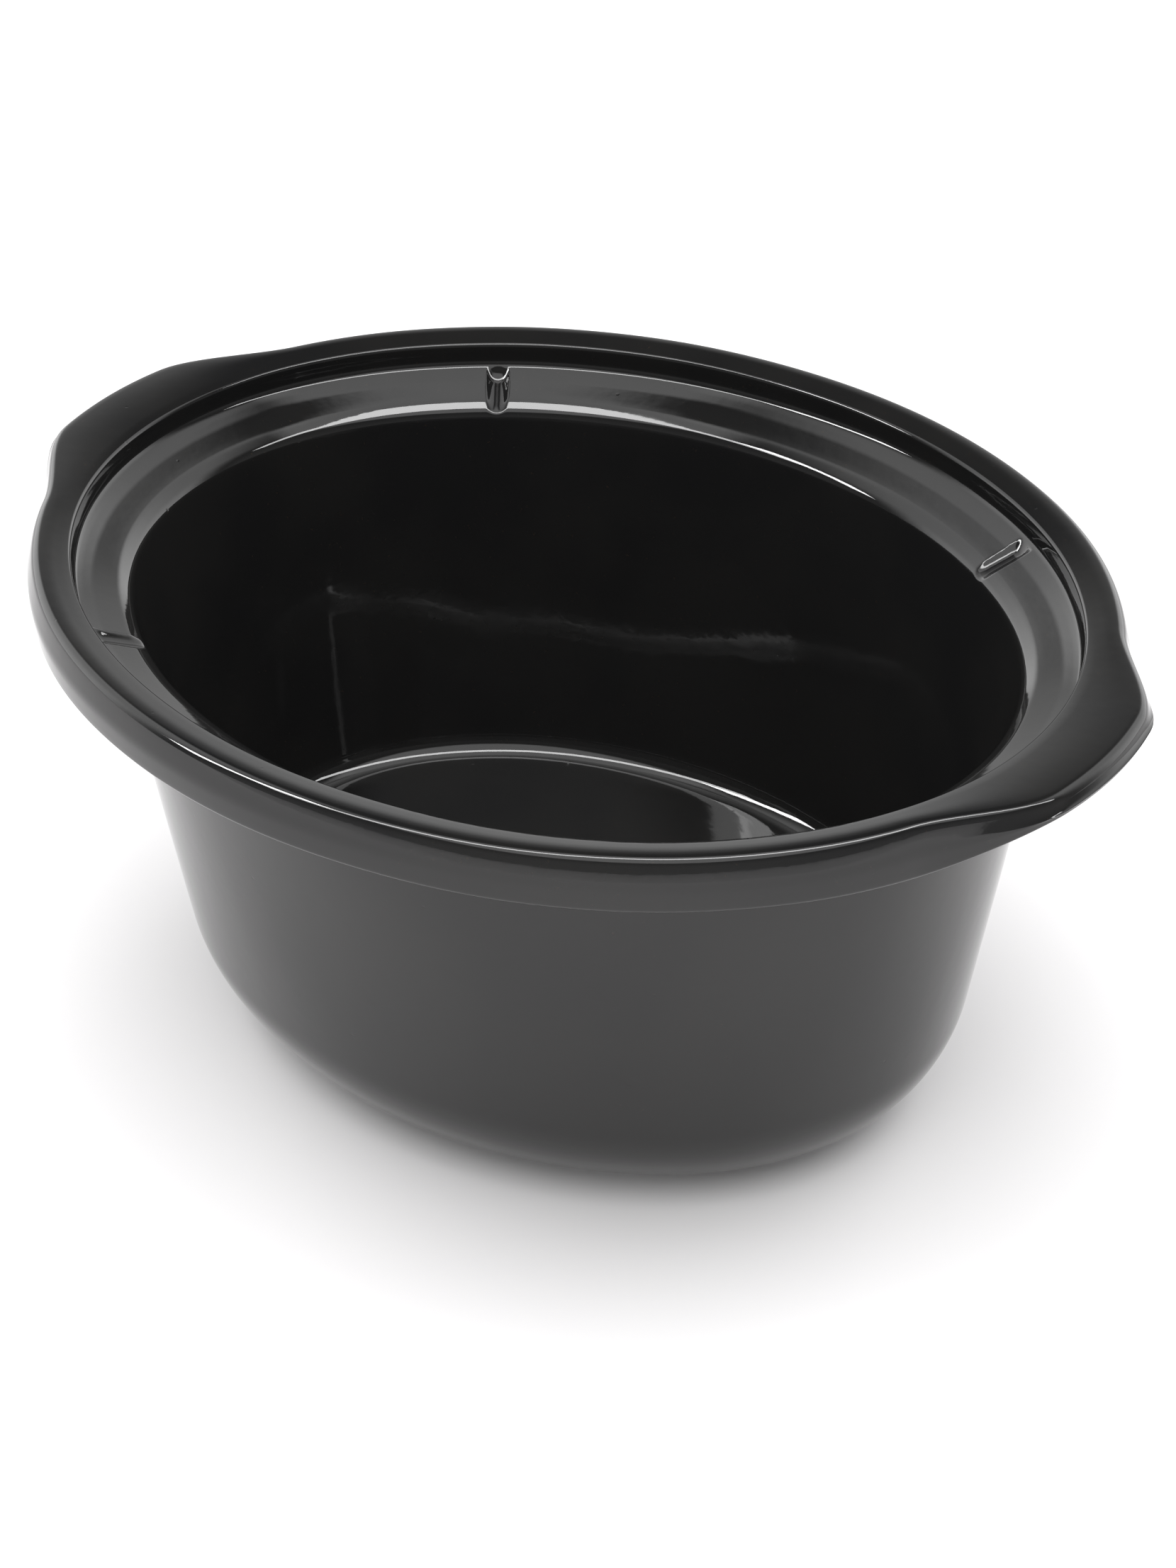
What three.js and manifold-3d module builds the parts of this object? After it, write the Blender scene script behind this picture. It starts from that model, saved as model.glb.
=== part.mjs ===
// The stoneware crock of an oval slow cooker: one fired and glazed piece with a rolled rim, a sloping
// lid ledge, four steam grooves across the ledge and a lifting ear at each end.
// Millimetres, +Z up, +X along the oval. The origin is under the centre, on the surface it stands on.
import * as THREE from "three";
import { mergeVertices } from "three/addons/utils/BufferGeometryUtils.js";
import Module from "manifold-3d";

// Driving sizes. An offset is counted outwards from the ellipse of the mouth.
const MOUTH_HALF_LENGTH = 140;
const MOUTH_HALF_WIDTH = 112;
const RIM_HEIGHT = 158.5;

// Foot ring and the hollow panel inside it
const FOOT_OUTER = -45;
const FOOT_INNER = -57;
const PANEL_RECESS = 8;
const PANEL_SLOPE_RUN = 12;
const FOOT_ROUND = 3;

// Outer wall
const WALL_TOP_OFFSET = 6.7;
const OUTER_DRAFT = THREE.MathUtils.degToRad(9.2);
const UNDER_SLOPE = THREE.MathUtils.degToRad(15);
const OUTER_FILLET = 44.3;

// Rim: a land that rises to a crest and turns down over a steep flank, with a level seat below
const RIM_UNDERSIDE = RIM_HEIGHT - 14.5;
const RIM_LOWER_EDGE = 27.7;
const RIM_OUTER_EDGE = 28.3;
const RIM_OUTER_DROP = 6;
const RIM_SHOULDER = 25.9;
const RIM_SHOULDER_RISE = 1.65;
const RIM_CREST = 21.5;
const RIM_CREST_RISE = 1.8;
const RIM_INNER_EDGE = 15;
const SEAT_FILLET = 10;

// Lid ledge, which eases between its root, a middle stretch and the lip of the cavity
const LEDGE_ROOT_DROP = 6.9;
const LEDGE_OUTER = 9.5;
const LEDGE_OUTER_DROP = 9.8;
const LEDGE_INNER = 2;
const LEDGE_INNER_DROP = 13;
const LIP_OFFSET = -1.8;
const LIP_DROP = 15.8;
const LIP_ROUND = 4.5;
const INNER_DRAFT = THREE.MathUtils.degToRad(9.45);
const CAVITY_FLOOR = 25.6;
const CAVITY_FILLET = 8;

// Lifting ears: thin tabs level with the rim's land, whose underside is raised above the seat
const EAR_REACH = 11.7;
const EAR_FULL_HALF_SPAN = 22;
const EAR_END_HALF_SPAN = 58.5;
const EAR_UNDERSIDE_LIFT = 10;
const EAR_ROOT_OFFSET = 8;
const EAR_FULL_OFFSET = 25;

// Steam grooves, on the diagonals of the oval
const GROOVE_WIDTH = 8;
const GROOVE_DEPTH = 1.8;
const GROOVE_SLOPE = THREE.MathUtils.degToRad(21);
const GROOVE_LENGTH = 24;
const GROOVE_CLEARANCE = 7;
const GROOVE_START_OFFSET = 13.4;
const GROOVE_START_DROP = 8.5;
const GROOVE_BEARING = THREE.MathUtils.degToRad(45);

// Facets
const SEGMENTS = 88;
const CHORD_ERROR = 0.2;
const CORE_OFFSET = -72;

// The rounded section line through a list of corners { offset, height, round }.
function roundedSection(corners) {
  const points = [];
  corners.forEach((corner, index) => {
    const here = new THREE.Vector2(corner.offset, corner.height);
    if (!corner.round) {
      points.push(here);
      return;
    }
    const before = corners[index - 1];
    const after = corners[index + 1];
    const back = new THREE.Vector2(before.offset, before.height).sub(here).normalize();
    const ahead = new THREE.Vector2(after.offset, after.height).sub(here).normalize();
    const halfAngle = Math.acos(THREE.MathUtils.clamp(back.dot(ahead), -1, 1)) / 2;
    const centre = back.clone().add(ahead).normalize();
    centre.multiplyScalar(corner.round / Math.sin(halfAngle)).add(here);
    const reach = corner.round / Math.tan(halfAngle);
    const first = back.clone().multiplyScalar(reach).add(here).sub(centre);
    const last = ahead.clone().multiplyScalar(reach).add(here).sub(centre);
    const turn = Math.atan2(first.cross(last), first.dot(last));
    const finest = 2 * Math.acos(1 - CHORD_ERROR / Math.max(corner.round, 1));
    const steps = Math.max(2, Math.ceil(Math.abs(turn) / finest));
    for (let step = 0; step <= steps; step += 1) {
      const spoke = first.clone().rotateAround(new THREE.Vector2(), (turn * step) / steps);
      points.push(spoke.add(centre));
    }
  });
  return points;
}

// Where a line through (offset, height) leaning by `draft` from upright reaches another height.
function leanTo(offset, height, draft, target) {
  return offset + (target - height) * Math.tan(draft);
}

function crockSection() {
  // The underside slope and the outer wall meet at the corner that the big fillet rounds off.
  const slope = Math.tan(UNDER_SLOPE);
  const lean = Math.tan(OUTER_DRAFT);
  const cornerHeight = (slope * (WALL_TOP_OFFSET - RIM_UNDERSIDE * lean - FOOT_OUTER)) / (1 - slope * lean);
  const cornerOffset = leanTo(WALL_TOP_OFFSET, RIM_UNDERSIDE, OUTER_DRAFT, cornerHeight);

  // The cavity wall runs down from the lip to the floor.
  const lipHeight = RIM_HEIGHT - LIP_DROP;
  const floorOffset = leanTo(LIP_OFFSET, lipHeight, INNER_DRAFT, CAVITY_FLOOR);

  const axis = -MOUTH_HALF_LENGTH;
  return roundedSection([
    { offset: axis, height: PANEL_RECESS },
    { offset: FOOT_INNER - PANEL_SLOPE_RUN, height: PANEL_RECESS },
    { offset: FOOT_INNER, height: 0 },
    { offset: FOOT_OUTER, height: 0, round: FOOT_ROUND },
    { offset: cornerOffset, height: cornerHeight, round: OUTER_FILLET },
    { offset: WALL_TOP_OFFSET, height: RIM_UNDERSIDE, round: SEAT_FILLET },
    { offset: RIM_LOWER_EDGE, height: RIM_UNDERSIDE, round: 1.8 },
    { offset: RIM_OUTER_EDGE, height: RIM_HEIGHT - RIM_OUTER_DROP, round: 10 },
    { offset: RIM_SHOULDER, height: RIM_HEIGHT + RIM_SHOULDER_RISE, round: 3 },
    { offset: RIM_CREST, height: RIM_HEIGHT + RIM_CREST_RISE, round: 12 },
    { offset: RIM_INNER_EDGE, height: RIM_HEIGHT, round: 1.3 },
    { offset: RIM_INNER_EDGE, height: RIM_HEIGHT - LEDGE_ROOT_DROP, round: 2.7 },
    { offset: LEDGE_OUTER, height: RIM_HEIGHT - LEDGE_OUTER_DROP, round: 20 },
    { offset: LEDGE_INNER, height: RIM_HEIGHT - LEDGE_INNER_DROP, round: 8 },
    { offset: LIP_OFFSET, height: lipHeight, round: LIP_ROUND },
    { offset: floorOffset, height: CAVITY_FLOOR, round: CAVITY_FILLET },
    { offset: axis, height: CAVITY_FLOOR },
  ]);
}

// Half the width of the ring whose half length is given: rings keep an even offset from the mouth,
// and inside the core they shrink in proportion to the centre.
function halfWidth(halfLength) {
  const difference = MOUTH_HALF_LENGTH - MOUTH_HALF_WIDTH;
  const core = MOUTH_HALF_LENGTH + CORE_OFFSET;
  if (halfLength >= core) return halfLength - difference;
  return (halfLength * (core - difference)) / core;
}

// 1 over the middle of an ear, fading to 0 where it runs back into the rim.
function earSwell(y) {
  return 1 - THREE.MathUtils.smoothstep(Math.abs(y), EAR_FULL_HALF_SPAN, EAR_END_HALF_SPAN);
}

// How fully a point of the section moves with the ear: the land and the seat stretch from their
// roots, the rim's flank moves whole, and the ledge and everything inside it stays.
function earShare(offset, height) {
  const onLand = height > RIM_HEIGHT - 2;
  const onLedge = !onLand && offset < RIM_INNER_EDGE + 1 && height > RIM_UNDERSIDE + 0.3;
  if (onLedge || height < RIM_UNDERSIDE - 0.1 * SEAT_FILLET) return 0;
  const root = onLand ? RIM_INNER_EDGE + 1 : EAR_ROOT_OFFSET;
  return THREE.MathUtils.smoothstep(offset, root, EAR_FULL_OFFSET);
}

function ovalBody() {
  const outline = crockSection().map((p) => new THREE.Vector2(Math.max(p.x + MOUTH_HALF_LENGTH, 0), p.y));
  const geometry = new THREE.LatheGeometry(outline, SEGMENTS);
  const position = geometry.getAttribute("position");
  for (let i = 0; i < position.count; i += 1) {
    const halfLength = Math.hypot(position.getX(i), position.getZ(i));
    const bearing = Math.atan2(position.getX(i), position.getZ(i));
    const height = position.getY(i);
    const offset = halfLength - MOUTH_HALF_LENGTH;
    let x = halfLength * Math.cos(bearing);
    const y = halfWidth(halfLength) * Math.sin(bearing);
    const ear = earShare(offset, height) * earSwell(y);
    x += Math.sign(x) * ear * EAR_REACH;
    const depth = (RIM_HEIGHT - height) / (RIM_HEIGHT - RIM_UNDERSIDE);
    const lift = ear * EAR_UNDERSIDE_LIFT * THREE.MathUtils.smoothstep(depth, 0, 1);
    position.setXYZ(i, x, y, height + lift);
  }
  return geometry;
}

// A round-bottomed bar: width along X, up along Y, length along Z, with the ledge surface at Y = 0.
function grooveBar() {
  const half = GROOVE_WIDTH / 2;
  const shape = new THREE.Shape();
  shape.moveTo(-half, GROOVE_CLEARANCE);
  shape.lineTo(-half, half - GROOVE_DEPTH);
  shape.absarc(0, half - GROOVE_DEPTH, half, Math.PI, 2 * Math.PI, false);
  shape.lineTo(half, GROOVE_CLEARANCE);
  return new THREE.ExtrudeGeometry(shape, { depth: GROOVE_LENGTH, curveSegments: 6, bevelEnabled: false });
}

// One groove lies square to the ledge's curve and falls into the mouth.
function grooveCutter(bearing) {
  const halfLength = MOUTH_HALF_LENGTH + GROOVE_START_OFFSET;
  const across = halfWidth(halfLength);
  const angle = Math.atan2(Math.sin(bearing) * halfLength, Math.cos(bearing) * across);
  const outwards = new THREE.Vector3(Math.cos(angle) / halfLength, Math.sin(angle) / across, 0).normalize();
  const upwards = new THREE.Vector3(0, 0, 1);
  const fall = new THREE.Vector3().addScaledVector(outwards, -Math.cos(GROOVE_SLOPE));
  fall.addScaledVector(upwards, -Math.sin(GROOVE_SLOPE));
  const surface = new THREE.Vector3().addScaledVector(upwards, Math.cos(GROOVE_SLOPE));
  surface.addScaledVector(outwards, -Math.sin(GROOVE_SLOPE));
  const sideways = new THREE.Vector3().crossVectors(surface, fall);
  const start = new THREE.Vector3(halfLength * Math.cos(angle), across * Math.sin(angle), 0);
  start.z = RIM_HEIGHT - GROOVE_START_DROP;
  const place = new THREE.Matrix4().makeBasis(sideways, surface, fall).setPosition(start);
  return grooveBar().applyMatrix4(place);
}

// A merged, closed copy of a geometry as a solid that can be cut.
function toSolid(wasm, geometry) {
  const bare = geometry.clone();
  bare.deleteAttribute("normal");
  bare.deleteAttribute("uv");
  const merged = mergeVertices(bare, 1e-4);
  const index = merged.getIndex().array;
  const triangles = [];
  for (let i = 0; i < index.length; i += 3) {
    const [a, b, c] = [index[i], index[i + 1], index[i + 2]];
    if (a !== b && b !== c && c !== a) triangles.push(a, b, c);
  }
  const vertProperties = new Float32Array(merged.getAttribute("position").array);
  const triVerts = new Uint32Array(triangles);
  return new wasm.Manifold(new wasm.Mesh({ numProp: 3, vertProperties, triVerts }));
}

function toGeometry(solid) {
  const mesh = solid.getMesh();
  const geometry = new THREE.BufferGeometry();
  geometry.setAttribute("position", new THREE.BufferAttribute(mesh.vertProperties, 3));
  geometry.setIndex(new THREE.BufferAttribute(mesh.triVerts, 1));
  geometry.computeVertexNormals();
  return geometry;
}

async function stonewareCrock() {
  const wasm = await Module();
  wasm.setup();
  let solid = toSolid(wasm, ovalBody());
  for (const bearing of [GROOVE_BEARING, Math.PI - GROOVE_BEARING]) {
    for (const end of [bearing, bearing + Math.PI]) {
      solid = solid.subtract(toSolid(wasm, grooveCutter(end)));
    }
  }
  const glaze = new THREE.MeshStandardMaterial({ color: 0x161616, roughness: 0.12, metalness: 0 });
  const crock = new THREE.Mesh(toGeometry(solid), glaze);
  crock.name = "stoneware_crock";
  return crock;
}

const slowCookerCrock = new THREE.Group();
slowCookerCrock.add(await stonewareCrock());

export default slowCookerCrock;
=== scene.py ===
"""An oval black-glazed stoneware crock, built in the CAD part's frame: metres, +Z up, +X along the oval."""
import math

import bpy
import numpy as np
from mathutils import Matrix, Vector


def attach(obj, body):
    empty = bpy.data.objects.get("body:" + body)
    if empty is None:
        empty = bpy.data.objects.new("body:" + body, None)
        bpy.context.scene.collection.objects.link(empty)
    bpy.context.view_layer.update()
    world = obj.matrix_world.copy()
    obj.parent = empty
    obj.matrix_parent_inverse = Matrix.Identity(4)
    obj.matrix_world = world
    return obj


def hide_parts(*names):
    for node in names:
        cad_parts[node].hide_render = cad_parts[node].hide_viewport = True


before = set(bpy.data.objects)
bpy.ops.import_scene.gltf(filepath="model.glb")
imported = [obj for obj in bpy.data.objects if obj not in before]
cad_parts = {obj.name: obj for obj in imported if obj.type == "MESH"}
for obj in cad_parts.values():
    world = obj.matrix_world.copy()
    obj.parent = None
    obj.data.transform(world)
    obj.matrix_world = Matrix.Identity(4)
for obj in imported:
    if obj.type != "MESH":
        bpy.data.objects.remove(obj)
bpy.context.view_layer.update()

MM = 0.001
NODE = "stoneware_crock"

# Driving sizes in millimetres, the same as the CAD part's. Offsets count outwards from the mouth.
MOUTH_HALF_LENGTH = 140.0
MOUTH_HALF_WIDTH = 112.0
RIM_HEIGHT = 158.5

# Foot and outer wall
FOOT_OUTER = -45.0
FOOT_INNER = -57.0
PANEL_RECESS = 8.0
PANEL_SLOPE_RUN = 12.0
WALL_TOP_OFFSET = 6.7
OUTER_DRAFT = math.radians(9.2)
OUTER_FILLET = 44.3
UNDER_SLOPE = math.radians(15)

# Rim
RIM_UNDERSIDE = RIM_HEIGHT - 14.5
SEAT_FILLET = 10.0
RIM_LOWER_EDGE = 27.7
RIM_OUTER_EDGE = 28.3
RIM_OUTER_HEIGHT = RIM_HEIGHT - 6.0
RIM_SHOULDER = 25.9
RIM_SHOULDER_HEIGHT = RIM_HEIGHT + 1.65
RIM_CREST = 21.5
RIM_CREST_HEIGHT = RIM_HEIGHT + 1.8
RIM_INNER_EDGE = 15.0

# Lid ledge, lip and cavity
LEDGE_ROOT_HEIGHT = RIM_HEIGHT - 6.9
LEDGE_OUTER = 9.5
LEDGE_OUTER_HEIGHT = RIM_HEIGHT - 9.8
LEDGE_INNER = 2.0
LEDGE_INNER_HEIGHT = RIM_HEIGHT - 13.0
LIP_OFFSET = -1.8
LIP_HEIGHT = RIM_HEIGHT - 15.8
LIP_ROUND = 4.5
INNER_DRAFT = math.radians(9.45)
CAVITY_FLOOR = 25.6
CAVITY_FILLET = 8.0

# Lifting ears
EAR_REACH = 11.7
EAR_FULL_HALF_SPAN = 22.0
EAR_END_HALF_SPAN = 58.5
EAR_UNDERSIDE_LIFT = 10.0
EAR_ROOT_OFFSET = 8.0
EAR_FULL_OFFSET = 25.0

# Steam grooves
GROOVE_RADIUS = 4.0
GROOVE_DEPTH = 1.8
GROOVE_SLOPE = math.radians(21)
GROOVE_START_OFFSET = 13.4
GROOVE_START_HEIGHT = RIM_HEIGHT - 8.5
GROOVE_BEARING = math.radians(45)
GROOVE_SIDE_STEEPNESS = 5.0
GROOVE_END_STEEPNESS = 3.5
GROOVE_END_INSET = 0.4
GROOVE_EDGE_ROUND = 1.0

CORE_OFFSET = -72.0

# Studio
SWEEP_SIDE = (-0.584, 0.812)
SWEEP_LEVEL = 0.85
ROOM_LEVEL = 0.35
DIFFUSER_SIDE = (0.13, -0.18, 0.97)
DIFFUSER_LEVEL = 2.0
WING_LEVEL = 1.7
WHITE_FLOOR = (0.88, 0.87, 0.875)
FLOOR_HALF_SIZE = 8.0

# Camera
EYE = (0.5171, -0.7110, RIM_HEIGHT * MM + 0.5325)
CAMERA_FORWARD = (-0.4793, 0.6675, -0.5698)
CAMERA_RIGHT = (0.8156, 0.5785, -0.0083)
SENSOR_WIDTH = 36.0
LENS = 81.374

# Mesh fineness
CHORD_ERROR = 0.012
LONGEST_STEP = 2.4
COLUMN_STEP = 1.5
GROOVE_COLUMN_STEP = 0.35
GROOVE_BAND = 7.0


# ---------------------------------------------------------------- the crock's shape

def smoothstep(low, high, value):
    t = np.clip((value - low) / (high - low), 0, 1)
    return t * t * (3 - 2 * t)


def rounded_section(corners):
    """Points along the section line through (offset, height, round) corners, with true arcs."""
    points = []
    for index, (offset, height, radius) in enumerate(corners):
        here = np.array([offset, height])
        if not radius:
            points.append(here)
            continue
        back = np.array(corners[index - 1][:2]) - here
        ahead = np.array(corners[index + 1][:2]) - here
        back /= np.linalg.norm(back)
        ahead /= np.linalg.norm(ahead)
        half_angle = math.acos(float(np.clip(back @ ahead, -1, 1))) / 2
        middle = back + ahead
        centre = here + middle / np.linalg.norm(middle) * radius / math.sin(half_angle)
        first = here + back * radius / math.tan(half_angle) - centre
        last = here + ahead * radius / math.tan(half_angle) - centre
        turn = math.atan2(first[0] * last[1] - first[1] * last[0], first @ last)
        finest = 2 * math.acos(1 - CHORD_ERROR / max(radius, 1))
        steps = max(4, math.ceil(abs(turn) / finest))
        for step in range(steps + 1):
            a = turn * step / steps
            spoke = np.array([
                first[0] * math.cos(a) - first[1] * math.sin(a),
                first[0] * math.sin(a) + first[1] * math.cos(a),
            ])
            points.append(centre + spoke)
    return np.array(points)


def even_steps(points, longest):
    """The same line with its long straight stretches divided."""
    out = [points[0]]
    for a, b in zip(points, points[1:]):
        parts = max(1, math.ceil(np.linalg.norm(b - a) / longest))
        for k in range(1, parts + 1):
            out.append(a + (b - a) * k / parts)
    return np.array(out)


def lean_to(offset, height, draft, target):
    """Where a line leaning by the draft from upright reaches another height."""
    return offset + (target - height) * math.tan(draft)


def crock_section():
    """The section line, from the underside's centre out, up over the rim and down to the cavity floor."""
    slope, lean = math.tan(UNDER_SLOPE), math.tan(OUTER_DRAFT)
    corner_height = slope * (WALL_TOP_OFFSET - RIM_UNDERSIDE * lean - FOOT_OUTER) / (1 - slope * lean)
    corner_offset = lean_to(WALL_TOP_OFFSET, RIM_UNDERSIDE, OUTER_DRAFT, corner_height)
    floor_offset = lean_to(LIP_OFFSET, LIP_HEIGHT, INNER_DRAFT, CAVITY_FLOOR)
    axis = -MOUTH_HALF_LENGTH
    corners = [
        (axis, PANEL_RECESS, 0),
        (FOOT_INNER - PANEL_SLOPE_RUN, PANEL_RECESS, 6),
        (FOOT_INNER, 0, 1.5),
        (FOOT_OUTER, 0, 3),
        (corner_offset, corner_height, OUTER_FILLET),
        (WALL_TOP_OFFSET, RIM_UNDERSIDE, SEAT_FILLET),
        (RIM_LOWER_EDGE, RIM_UNDERSIDE, 1.8),
        (RIM_OUTER_EDGE, RIM_OUTER_HEIGHT, 10),
        (RIM_SHOULDER, RIM_SHOULDER_HEIGHT, 3),
        (RIM_CREST, RIM_CREST_HEIGHT, 12),
        (RIM_INNER_EDGE, RIM_HEIGHT, 1.3),
        (RIM_INNER_EDGE, LEDGE_ROOT_HEIGHT, 2.7),
        (LEDGE_OUTER, LEDGE_OUTER_HEIGHT, 20),
        (LEDGE_INNER, LEDGE_INNER_HEIGHT, 8),
        (LIP_OFFSET, LIP_HEIGHT, LIP_ROUND),
        (floor_offset, CAVITY_FLOOR, CAVITY_FILLET),
        (axis, CAVITY_FLOOR, 0),
    ]
    return even_steps(rounded_section(corners), LONGEST_STEP)


def half_width(half_length):
    """Rings keep an even offset from the mouth; inside the core they shrink to the centre."""
    difference = MOUTH_HALF_LENGTH - MOUTH_HALF_WIDTH
    core = MOUTH_HALF_LENGTH + CORE_OFFSET
    return np.where(half_length >= core, half_length - difference, half_length * (core - difference) / core)


def groove_angle():
    """The ellipse parameter at which a groove starts, in the first quadrant."""
    along, across = MOUTH_HALF_LENGTH + GROOVE_START_OFFSET, MOUTH_HALF_WIDTH + GROOVE_START_OFFSET
    return math.atan2(math.sin(GROOVE_BEARING) * along, math.cos(GROOVE_BEARING) * across)


def column_angles():
    """Ellipse parameters of the mesh columns, crowded round the four grooves."""
    radius = (MOUTH_HALF_LENGTH + MOUTH_HALF_WIDTH) / 2 + 8
    quarter = [0.0]
    middle = groove_angle()
    while quarter[-1] < math.pi / 2:
        distance = abs(quarter[-1] - middle) * radius
        fade = smoothstep(GROOVE_BAND, GROOVE_BAND + 14, distance)
        step = GROOVE_COLUMN_STEP + (COLUMN_STEP - GROOVE_COLUMN_STEP) * float(fade)
        quarter.append(quarter[-1] + step / radius)
    quarter = np.array(quarter) * (math.pi / 2 / quarter[-1])
    half = np.concatenate([quarter[:-1], math.pi - quarter[:0:-1]])
    return np.concatenate([half, half + math.pi])


def ear_swell(y):
    """1 over the middle of an ear, fading to 0 where it runs back into the rim."""
    return 1 - smoothstep(EAR_FULL_HALF_SPAN, EAR_END_HALF_SPAN, np.abs(y))


def ear_share(offset, z, inner_side):
    """How fully each point moves with the ear: the land and the seat stretch, the flank moves whole."""
    land = z > RIM_HEIGHT - 2
    root = np.where(land, RIM_INNER_EDGE + 1, EAR_ROOT_OFFSET)
    stretch = smoothstep(root, EAR_FULL_OFFSET, offset)
    still = (inner_side & ~land) | (z < RIM_UNDERSIDE - 1)
    return np.where(still, 0, stretch)


def soft_minimum(a, b, blend):
    """The lower of two surfaces with a rounded meeting line."""
    h = np.clip(0.5 + 0.5 * (b - a) / blend, 0, 1)
    return b * (1 - h) + a * h - blend * h * (1 - h)


def cut_grooves(x, y, z, offset, inner_side):
    """Lowers the ledge along four round-bottomed channels that fall into the mouth."""
    along = MOUTH_HALF_LENGTH + GROOVE_START_OFFSET
    across = MOUTH_HALF_WIDTH + GROOVE_START_OFFSET
    angle = groove_angle()
    start = np.array([along * math.cos(angle), across * math.sin(angle)])
    outwards = np.array([math.cos(angle) / along, math.sin(angle) / across])
    outwards /= np.linalg.norm(outwards)
    px, py = np.abs(x) - start[0], np.abs(y) - start[1]
    beyond = px * outwards[0] + py * outwards[1]
    aside = -px * outwards[1] + py * outwards[0]
    line = GROOVE_START_HEIGHT + beyond * math.tan(GROOVE_SLOPE)
    inside = np.sqrt(np.clip(GROOVE_RADIUS ** 2 - aside ** 2, 0, None))
    floor = line - GROOVE_DEPTH + GROOVE_RADIUS - inside
    floor = floor + GROOVE_SIDE_STEEPNESS * np.clip(np.abs(aside) - GROOVE_RADIUS, 0, None)
    floor = floor + GROOVE_END_STEEPNESS * np.clip(beyond + GROOVE_END_INSET, 0, None)
    near = inner_side & (offset < RIM_INNER_EDGE - 0.1) & (z > LIP_HEIGHT - 14)
    return np.where(near, soft_minimum(z, floor, GROOVE_EDGE_ROUND), z)


def kiln_waviness(x, y, z):
    """A fraction of a millimetre of slow unevenness, as slip-cast stoneware keeps after firing."""
    a = np.sin(0.031 * x + 0.019 * y + 0.4) * np.sin(0.027 * y - 0.012 * z + 1.1)
    b = np.sin(0.071 * x - 0.043 * y + 0.050 * z + 2.3)
    c = np.sin(0.113 * y + 0.087 * x - 0.061 * z + 0.7)
    return 0.16 * a + 0.07 * b + 0.04 * c


def crock_mesh():
    """Rings of the section swept round the oval, closed by a fan at the middle of each face."""
    section = crock_section()
    angles = column_angles()
    half_length = np.clip(section[:, 0] + MOUTH_HALF_LENGTH, 0, None)[1:-1, None]
    offset = np.broadcast_to(section[1:-1, :1], (len(section) - 2, len(angles)))
    x = half_length * np.cos(angles)
    y = half_width(half_length) * np.sin(angles)
    z = np.broadcast_to(section[1:-1, 1:], x.shape).copy()
    inner_side = np.arange(len(x))[:, None] > int(np.argmax(section[1:-1, 1]))
    ear = ear_share(offset, z, inner_side) * ear_swell(y)
    x = x + np.sign(np.cos(angles)) * ear * EAR_REACH
    z = z + ear * EAR_UNDERSIDE_LIFT * smoothstep(0, RIM_HEIGHT - RIM_UNDERSIDE, RIM_HEIGHT - z)
    z = cut_grooves(x, y, z, offset, inner_side)
    swell = kiln_waviness(x, y, z) * smoothstep(1.5, 14, z)
    reach = np.maximum(np.hypot(x, y), 1)
    x = x * (1 + swell / reach)
    y = y * (1 + swell / reach)

    rows, columns = x.shape
    rings = np.stack([x, y, z], -1).reshape(-1, 3)
    poles = np.array([[0, 0, section[0, 1]], [0, 0, section[-1, 1]]])
    vertices = np.concatenate([rings, poles]) * MM
    here = np.arange(rows * columns).reshape(rows, columns)
    right = np.roll(here, -1, axis=1)
    quads = np.stack([here[:-1], right[:-1], right[1:], here[1:]], -1).reshape(-1, 4)
    under = [(rows * columns, int(b), int(a)) for a, b in zip(here[0], right[0])]
    top = [(rows * columns + 1, int(a), int(b)) for a, b in zip(here[-1], right[-1])]
    mesh = bpy.data.meshes.new("crock")
    mesh.from_pydata(vertices.tolist(), [], quads.tolist() + under + top)
    mesh.polygons.foreach_set("use_smooth", [True] * len(mesh.polygons))
    mesh.update()
    return mesh


# ---------------------------------------------------------------- materials

def new_material(name):
    material = bpy.data.materials.new(name)
    material.use_nodes = True
    nodes, links = material.node_tree.nodes, material.node_tree.links
    return material, nodes, links, nodes["Principled BSDF"]


def noise(nodes, links, place, scale, detail=2.0, roughness=0.5):
    node = nodes.new("ShaderNodeTexNoise")
    node.inputs["Scale"].default_value = scale
    node.inputs["Detail"].default_value = detail
    node.inputs["Roughness"].default_value = roughness
    links.new(place.outputs["Object"], node.inputs["Vector"])
    return node.outputs["Fac"]


def spread(nodes, links, value, low, high, to_low, to_high):
    node = nodes.new("ShaderNodeMapRange")
    node.interpolation_type = "SMOOTHSTEP"
    for key, number in (("From Min", low), ("From Max", high), ("To Min", to_low), ("To Max", to_high)):
        node.inputs[key].default_value = number
    links.new(value, node.inputs["Value"])
    return node.outputs["Result"]


def mixed(nodes, links, factor, first, second):
    node = nodes.new("ShaderNodeMix")
    node.data_type = "RGBA"
    links.new(factor, node.inputs["Factor"])
    for key, colour in (("A", first), ("B", second)):
        socket = next(s for s in node.inputs if s.name == key and s.type == "RGBA")
        if isinstance(colour, tuple):
            socket.default_value = (*colour, 1)
        else:
            links.new(colour, socket)
    return next(s for s in node.outputs if s.type == "RGBA")


def bump(nodes, links, height, distance, strength, under=None):
    node = nodes.new("ShaderNodeBump")
    node.inputs["Distance"].default_value = distance
    node.inputs["Strength"].default_value = strength
    links.new(height, node.inputs["Height"])
    if under is not None:
        links.new(under, node.inputs["Normal"])
    return node.outputs["Normal"]


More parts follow.
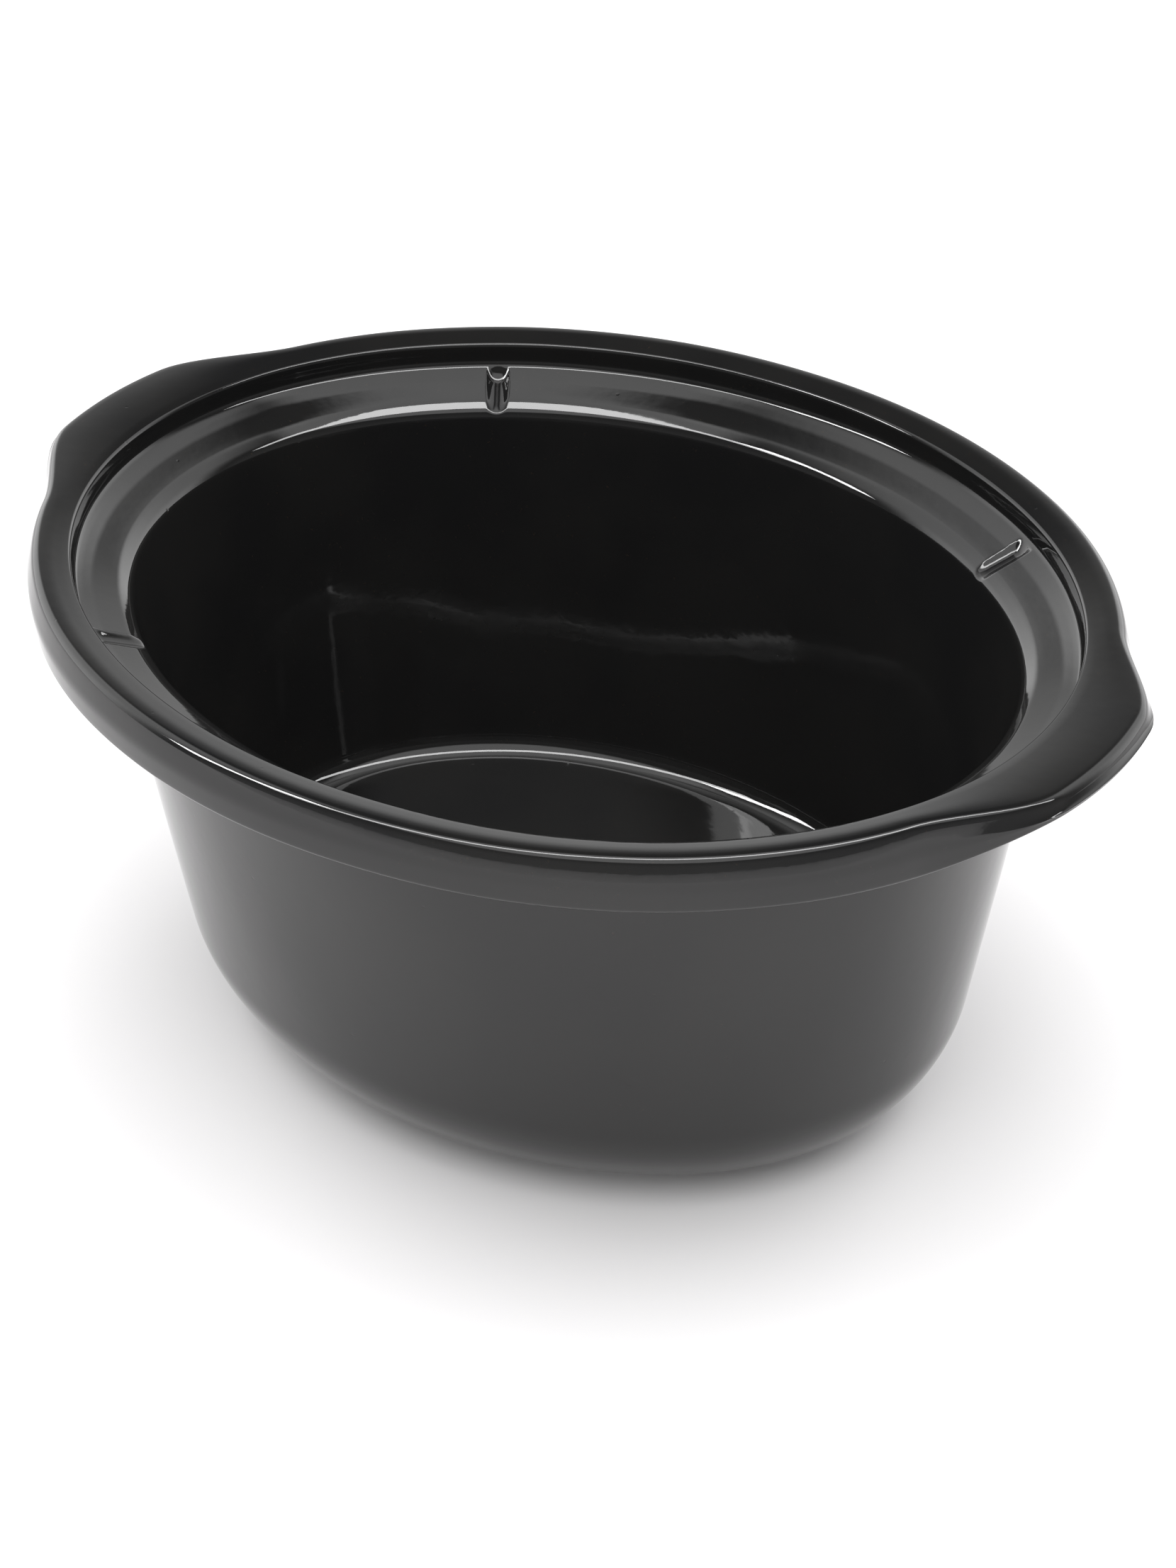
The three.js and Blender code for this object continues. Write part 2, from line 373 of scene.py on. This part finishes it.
def black_glaze():
    """Thick glossy black glaze: an orange-peel skin, faint iron specks and a few pinholes."""
    material, nodes, links, shader = new_material("black_glaze")
    place = nodes.new("ShaderNodeTexCoord")
    shader.inputs["IOR"].default_value = 1.46
    drift = spread(nodes, links, noise(nodes, links, place, 16, 3, 0.55), 0.35, 0.65, 0, 1)
    base = mixed(nodes, links, drift, (0.0098, 0.0098, 0.0100), (0.0126, 0.0124, 0.0121))
    specks = spread(nodes, links, noise(nodes, links, place, 900, 1.5, 0.5), 0.70, 0.80, 0, 0.6)
    speckled = mixed(nodes, links, specks, base, (0.030, 0.022, 0.016))
    links.new(speckled, shader.inputs["Base Color"])
    haze = noise(nodes, links, place, 55, 4, 0.6)
    links.new(spread(nodes, links, haze, 0.3, 0.7, 0.035, 0.07), shader.inputs["Roughness"])
    peel = noise(nodes, links, place, 210, 2, 0.45)
    skin = bump(nodes, links, peel, 0.00006, 0.35)
    pits = nodes.new("ShaderNodeTexVoronoi")
    pits.inputs["Scale"].default_value = 95
    pits.inputs["Randomness"].default_value = 1
    links.new(place.outputs["Object"], pits.inputs["Vector"])
    hole = spread(nodes, links, pits.outputs["Distance"], 0.02, 0.06, 0, 1)
    links.new(bump(nodes, links, hole, 0.00008, 0.4, skin), shader.inputs["Normal"])
    return material


def bare_clay():
    """Unglazed fired stoneware on the foot: buff, sandy and matt."""
    material, nodes, links, shader = new_material("bare_stoneware")
    place = nodes.new("ShaderNodeTexCoord")
    cloud = spread(nodes, links, noise(nodes, links, place, 60, 4, 0.6), 0.3, 0.7, 0, 1)
    body = mixed(nodes, links, cloud, (0.40, 0.34, 0.27), (0.52, 0.46, 0.37))
    grains = noise(nodes, links, place, 1400, 2, 0.6)
    sandy = mixed(nodes, links, spread(nodes, links, grains, 0.62, 0.72, 0, 0.8), body, (0.16, 0.11, 0.08))
    links.new(sandy, shader.inputs["Base Color"])
    links.new(spread(nodes, links, grains, 0.3, 0.7, 0.72, 0.92), shader.inputs["Roughness"])
    links.new(bump(nodes, links, grains, 0.00025, 0.7), shader.inputs["Normal"])
    return material


def bare_the_foot(mesh):
    """The foot ring's contact band is wiped clean of glaze, with a slightly uneven edge."""
    for face in mesh.polygons:
        x, y, z = face.center
        angle = math.atan2(y, x)
        edge = 0.9 + 0.25 * math.sin(7 * angle + 0.5) + 0.15 * math.sin(19 * angle + 2)
        level = z / MM
        if level < edge and math.hypot(x, y * MOUTH_HALF_LENGTH / MOUTH_HALF_WIDTH) < 0.12:
            face.material_index = 1


def crock():
    mesh = crock_mesh()
    mesh.materials.append(black_glaze())
    mesh.materials.append(bare_clay())
    bare_the_foot(mesh)
    piece = bpy.data.objects.new("glazed_crock", mesh)
    bpy.context.scene.collection.objects.link(piece)
    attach(piece, "root")
    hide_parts(NODE)


# ---------------------------------------------------------------- floor, light, camera

def pale_floor():
    mesh = bpy.data.meshes.new("floor")
    half = FLOOR_HALF_SIZE
    corners = [(-half, -half, 0), (half, -half, 0), (half, half, 0), (-half, half, 0)]
    mesh.from_pydata(corners, [], [(0, 1, 2, 3)])
    material, _, _, shader = new_material("floor_white")
    shader.inputs["Base Color"].default_value = (*WHITE_FLOOR, 1)
    shader.inputs["Roughness"].default_value = 0.95
    shader.inputs["Specular IOR Level"].default_value = 0.0
    mesh.materials.append(material)
    floor = bpy.data.objects.new("floor", mesh)
    floor.location.z = -0.0002
    bpy.context.scene.collection.objects.link(floor)


def softbox(name, place, aim, size, radiance, in_gloss=True, on_floor=True):
    """A rectangular lamp facing its aim, with its long side level. Radiance is its face's brightness."""
    light = bpy.data.lights.new(name, "AREA")
    light.shape = "RECTANGLE"
    light.size, light.size_y = size
    light.energy = radiance * math.pi * size[0] * size[1]
    lamp = bpy.data.objects.new(name, light)
    lamp.location = place
    back = (Vector(place) - Vector(aim)).normalized()
    along = Vector((*CAMERA_RIGHT[:2], 0))
    along = (along - along.dot(back) * back).normalized()
    lamp.rotation_mode = "QUATERNION"
    lamp.rotation_quaternion = Matrix((along, back.cross(along), back)).transposed().to_quaternion()
    lamp.visible_glossy = in_gloss
    lamp.visible_diffuse = on_floor
    bpy.context.scene.collection.objects.link(lamp)


def studio_world():
    """A dim room: a pale sweep with brighter wings on the far side, and a wide diffuser overhead."""
    world = bpy.data.worlds.new("studio")
    world.use_nodes = True
    nodes, links = world.node_tree.nodes, world.node_tree.links
    place = nodes.new("ShaderNodeTexCoord")
    parts = nodes.new("ShaderNodeSeparateXYZ")
    links.new(place.outputs["Generated"], parts.inputs[0])

    def towards(direction):
        node = nodes.new("ShaderNodeVectorMath")
        node.operation = "DOT_PRODUCT"
        node.inputs[1].default_value = Vector(direction).normalized()
        links.new(place.outputs["Generated"], node.inputs[0])
        return node.outputs["Value"]

    def combined(operation, *values):
        node = nodes.new("ShaderNodeMath")
        node.operation = operation
        for socket, value in zip(node.inputs, values):
            links.new(value, socket)
        return node.outputs[0]

    height = parts.outputs["Z"]
    aside = combined("ABSOLUTE", towards((*CAMERA_RIGHT[:2], 0)))
    far_side = spread(nodes, links, towards((*SWEEP_SIDE, 0)), -0.05, 0.35, 0, 1)
    near_side = spread(nodes, links, towards((*SWEEP_SIDE, 0)), -0.30, 0.20, 1, 0)
    sweep = spread(nodes, links, height, 0.30, 0.70, SWEEP_LEVEL, 0)
    wings = spread(nodes, links, aside, 0.26, 0.42, 0, WING_LEVEL)
    room = spread(nodes, links, height, 0.0, 0.9, ROOM_LEVEL, 0.05)
    diffuser = spread(nodes, links, towards(DIFFUSER_SIDE), 0.82, 0.88, 0.0, DIFFUSER_LEVEL)
    far_light = combined("MULTIPLY", far_side, combined("ADD", sweep, wings))
    near_light = combined("MULTIPLY", near_side, room)
    light = combined("ADD", combined("ADD", far_light, near_light), diffuser)
    links.new(light, nodes["Background"].inputs["Color"])
    nodes["Background"].inputs["Strength"].default_value = 1.0
    bpy.context.scene.world = world


def camera():
    data = bpy.data.cameras.new("camera")
    data.sensor_fit = "AUTO"
    data.sensor_width = SENSOR_WIDTH
    data.lens = LENS
    data.clip_start, data.clip_end = 0.05, 30
    eye = bpy.data.objects.new("camera", data)
    eye.location = EYE
    forward = Vector(CAMERA_FORWARD).normalized()
    right = Vector(CAMERA_RIGHT).normalized()
    up = right.cross(forward).normalized()
    right = forward.cross(up)
    eye.rotation_mode = "QUATERNION"
    eye.rotation_quaternion = Matrix((right, up, -forward)).transposed().to_quaternion()
    bpy.context.scene.collection.objects.link(eye)
    bpy.context.scene.camera = eye


def studio_lamps():
    """A long strip and a key that only the gloss sees, and soft fills that only light the floor."""
    crock_middle = (0, 0, 0.15)
    softbox("strip", (0.13, -0.18, 1.75), crock_middle, (3.4, 0.26), 14.0, on_floor=False)
    softbox("key_left", (-1.15, -0.85, 1.45), crock_middle, (1.0, 0.22), 30.0, on_floor=False)
    softbox("fill_above", (0, 0, 2.6), (0, 0, 0), (7.0, 7.0), 0.86, in_gloss=False)
    softbox("fill_front_left", (-0.55, -1.75, 0.65), (0, 0, 0), (2.6, 0.8), 0.9, in_gloss=False)
    softbox("fill_front_right", (1.75, -0.75, 0.65), (0, 0, 0), (1.6, 0.8), 0.9, in_gloss=False)


crock()
pale_floor()
studio_world()
studio_lamps()
camera()
bpy.context.scene.view_settings.view_transform = "Standard"
